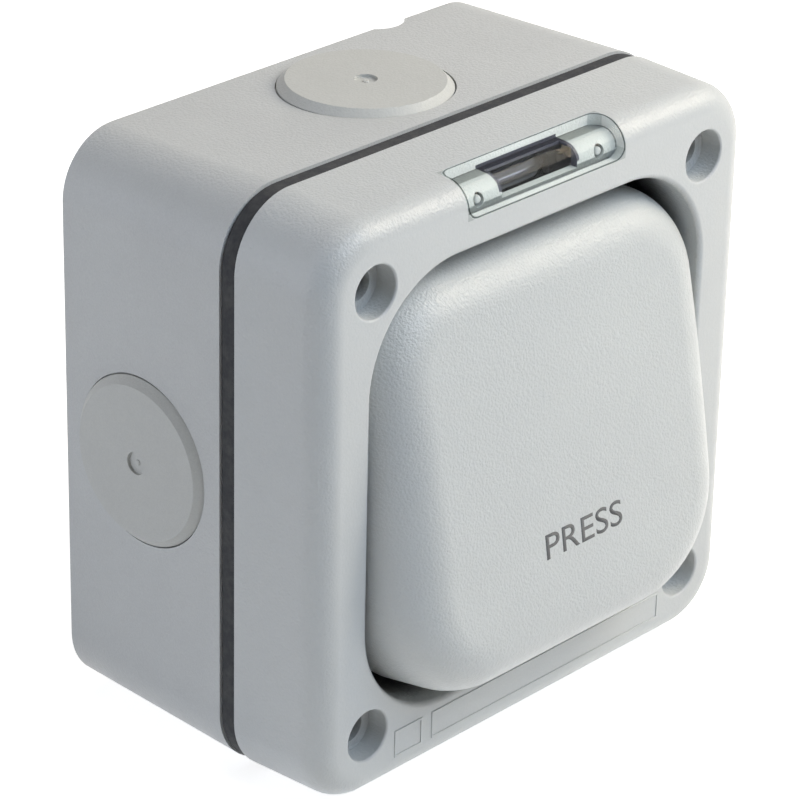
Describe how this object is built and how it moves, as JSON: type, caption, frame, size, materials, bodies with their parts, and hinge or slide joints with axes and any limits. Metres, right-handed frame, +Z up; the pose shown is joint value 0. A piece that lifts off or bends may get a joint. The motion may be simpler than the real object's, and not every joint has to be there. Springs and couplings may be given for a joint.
{
  "type": "outdoor weatherproof switch",
  "caption": "Square surface-mounted weatherproof push switch with a large tilted push paddle, clear indicator lens, gasket and plugged conduit entries.",
  "frame": {"origin": "centre of the flat back face, on the wall", "axes": "+X right seen from the front, +Z up, the front faces -Y and the back face +Y"},
  "size_m": [0.0874, 0.0589, 0.0867],
  "materials": {
    "housing_grey": "fine textured matt",
    "cover_grey": "fine textured matt",
    "paddle_grey": "fine textured matt",
    "plug_grey": "smooth matt",
    "gasket_rubber": "matt rubber",
    "boot_rubber": "matt rubber",
    "clear_lens": "clear polished",
    "lamp_glass": "clear glass",
    "bright_metal": "bright",
    "spring_steel": "bright wire",
    "plunger_white": "smooth",
    "module_black": "smooth",
    "brass": "plain",
    "zinc_screw": "zinc plated",
    "resistor_body": "lacquered"
  },
  "bodies": {
    "housing": {"back_box": "housing_grey", "boot_ring": "spring_steel", "contact_spring": "spring_steel", "earth_screw": "zinc_screw", "earth_terminal": "brass", "front_cover": "cover_grey", "gasket": "gasket_rubber", "hinge_pin": "spring_steel", "indicator_lens": "clear_lens", "lamp_holder": "plunger_white", "lamp_reflector": "bright_metal", "lamp_resistor": "resistor_body", "left_contact": "brass", "left_plug": "plug_grey", "left_plug_seal": "gasket_rubber", "left_return_spring": "spring_steel", "left_terminal": "brass", "module_base": "module_black", "module_lid": "plunger_white", "module_screws": "zinc_screw", "neon_lamp": "lamp_glass", "plunger_boot": "boot_rubber", "right_contact": "brass", "right_plug": "plug_grey", "right_plug_seal": "gasket_rubber", "right_return_spring": "spring_steel", "right_terminal": "brass", "terminal_screws": "zinc_screw", "top_plug": "plug_grey", "top_plug_seal": "gasket_rubber"},
    "paddle": {"paddle": "paddle_grey"},
    "plunger": {"plunger": "plunger_white", "moving_contact": "brass"}
  },
  "joints": [
    {"name": "paddle_hinge", "type": "hinge", "parent": "housing", "child": "paddle", "pos_m": [0, -0.0415, 0.0235], "axis": [1, 0, 0], "range_deg": [0, 7], "stiffness_Nm_per_rad": 1, "springref_deg": -6.88, "deforming": ["left_return_spring", "right_return_spring"]},
    {"name": "plunger_slide", "type": "slide", "parent": "housing", "child": "plunger", "axis": [0, 1, 0], "range_m": [0, 0.0043], "stiffness_N_per_m": 60, "springref_m": -0.004, "deforming": ["contact_spring", "plunger_boot"]}
  ],
  "couplings": [
    {"joint": "plunger_slide", "follows": "paddle_hinge", "m_per_rad": 0.032289}
  ]
}
